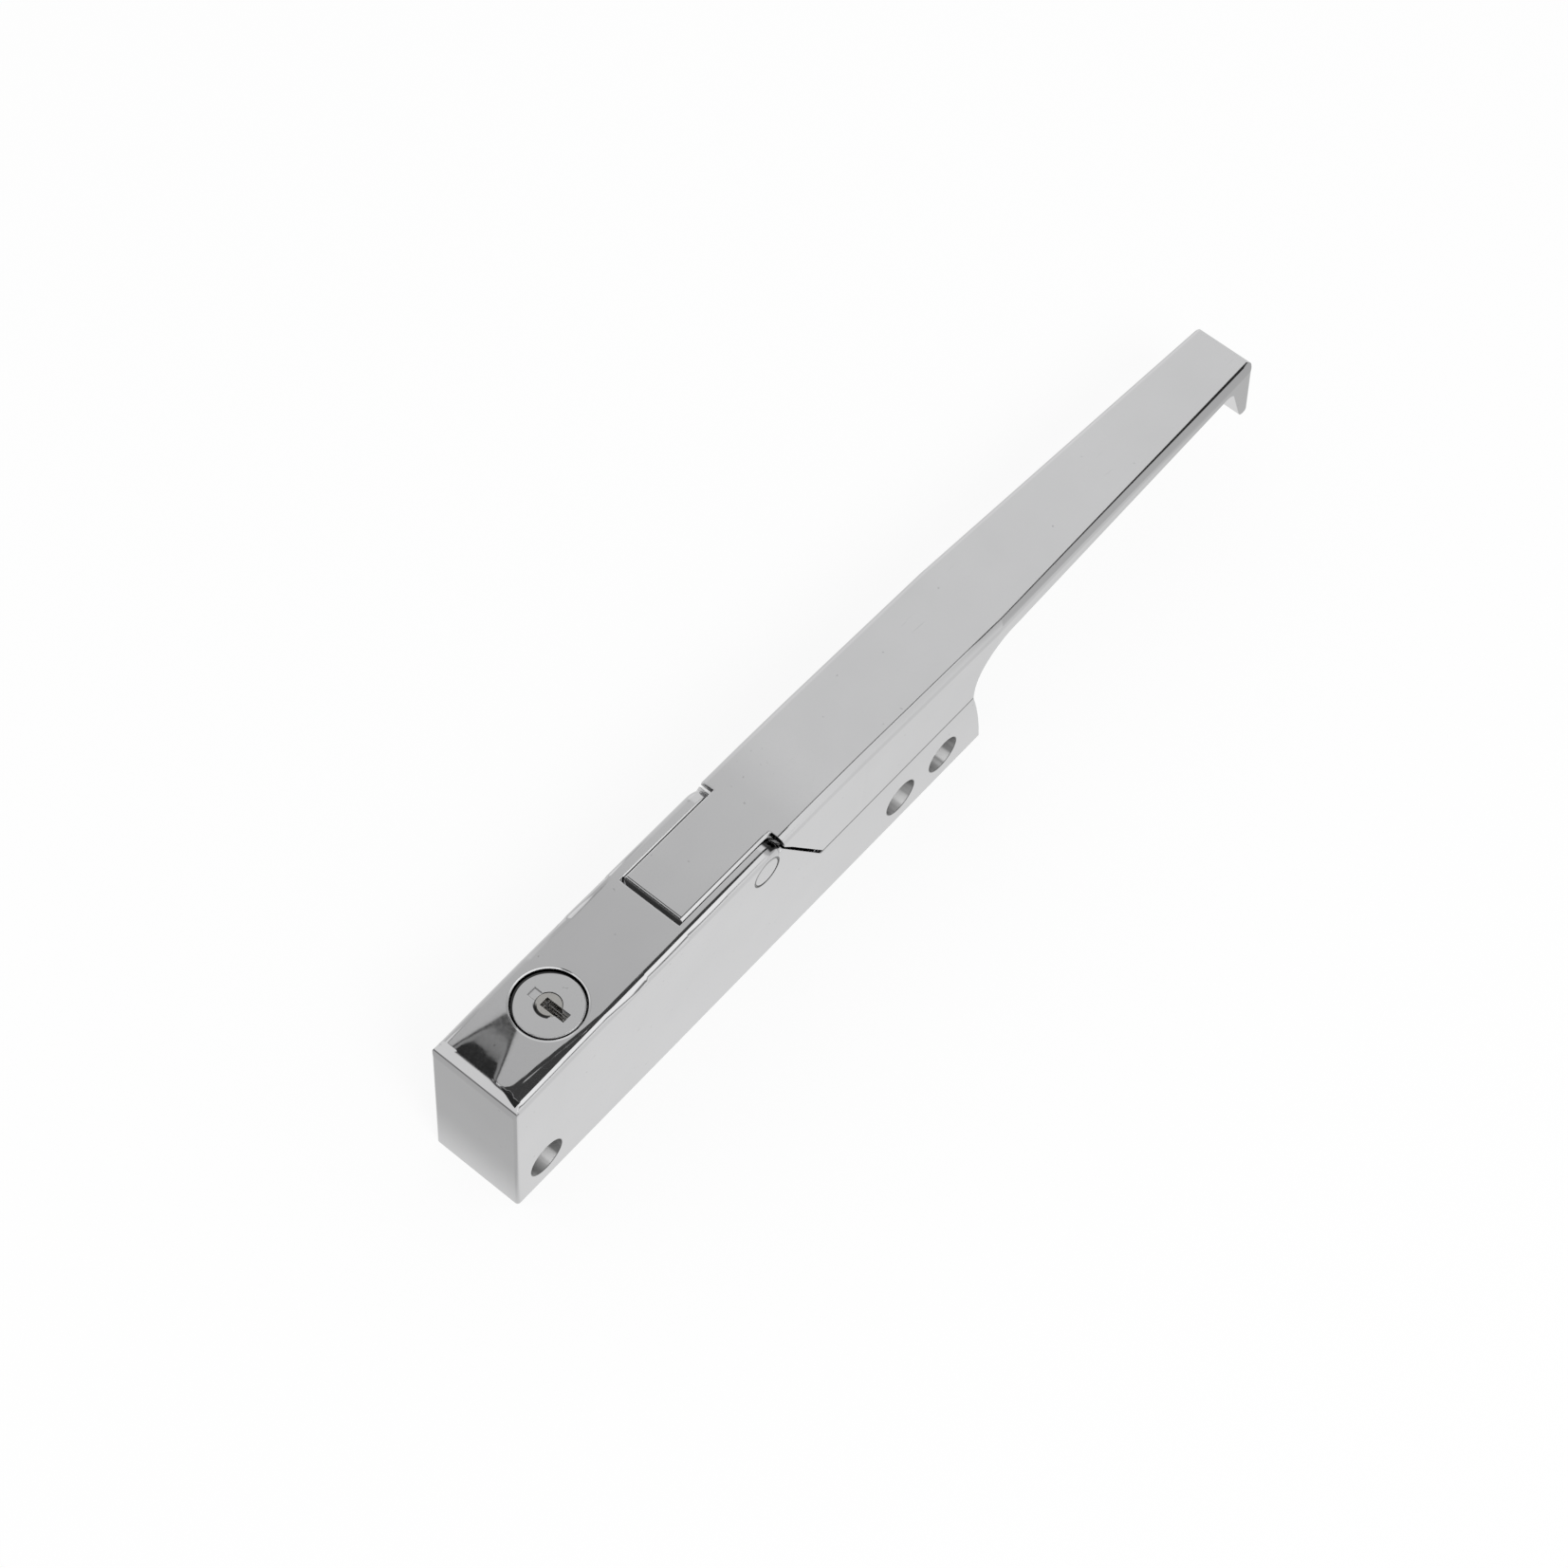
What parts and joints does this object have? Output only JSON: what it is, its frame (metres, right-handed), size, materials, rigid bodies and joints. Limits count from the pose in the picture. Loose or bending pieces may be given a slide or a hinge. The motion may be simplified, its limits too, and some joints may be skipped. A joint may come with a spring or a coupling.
{
  "type": "refrigerator door lock",
  "caption": "Long chromed latch for a refrigerator door: a pull handle on a narrow body works a spring latch hook, and a key lock in the near end blocks the handle.",
  "frame": {"origin": "centre of the box's bottom, on the plane of the foot", "axes": "+X along the handle towards its tip, +Z away from the door, +Y towards the side that the door screws clamp"},
  "size_m": [0.27, 0.024, 0.045],
  "materials": {
    "chrome_case": "polished chrome plate on die-cast zinc",
    "chrome_handle": "polished chrome plate on die-cast zinc",
    "chrome_pin": "polished, ends ground flush",
    "chrome_lock": "polished face",
    "plug_brass": "nickel-plated brass",
    "bearing_brass": "sintered",
    "cover_steel": "zinc-plated sheet",
    "inner_steel": "zinc-plated",
    "hook_steel": "hardened, nickel-plated",
    "spring_steel": "drawn wire",
    "screw_steel": "zinc-plated",
    "buffer_rubber": "matt"
  },
  "bodies": {
    "case": {"latch_body": "chrome_case", "bottom_cover": "cover_steel", "cover_screws": "screw_steel", "handle_pin": "chrome_pin", "handle_spring": "spring_steel", "handle_buffers": "buffer_rubber", "hook_pin": "inner_steel", "hook_spacers": "bearing_brass", "hook_spring": "spring_steel", "lock_housing": "chrome_lock", "lock_screws": "screw_steel", "plug_clip": "spring_steel", "slide_bracket": "cover_steel", "bracket_screws": "screw_steel"},
    "pull_handle": {"handle": "chrome_handle", "handle_bushes": "bearing_brass"},
    "hook": {"latch_hook": "hook_steel"},
    "key_plug": {"lock_plug": "plug_brass", "plug_wafers": "inner_steel", "lock_cam": "inner_steel", "cam_screw": "screw_steel"},
    "blocking_slide": {"lock_slide": "inner_steel"}
  },
  "joints": [
    {"name": "handle_pull", "type": "hinge", "parent": "case", "child": "pull_handle", "pos_m": [-0.0532, 0, 0.0388], "axis": [0, -1, 0], "range_deg": [0, 22], "stiffness_Nm_per_rad": 0.5, "springref_deg": -20.05, "deforming": ["handle_spring"]},
    {"name": "hook_release", "type": "hinge", "parent": "case", "child": "hook", "pos_m": [-0.0518, 0, 0.015], "axis": [0, -1, 0], "range_deg": [0, 22], "stiffness_Nm_per_rad": 0.03, "springref_deg": -22.92, "deforming": ["hook_spring"]},
    {"name": "key_turn", "type": "hinge", "parent": "case", "child": "key_plug", "pos_m": [-0.1112, 0, 0.036], "axis": [0, 0, -1], "range_deg": [0, 90]},
    {"name": "slide_travel", "type": "slide", "parent": "case", "child": "blocking_slide", "axis": [1, 0, 0], "range_m": [0, 0.00707]}
  ],
  "couplings": [
    {"joint": "hook_release", "follows": "handle_pull", "ratio": 1},
    {"joint": "key_turn", "follows": "slide_travel", "rad_per_m": 222.15}
  ]
}
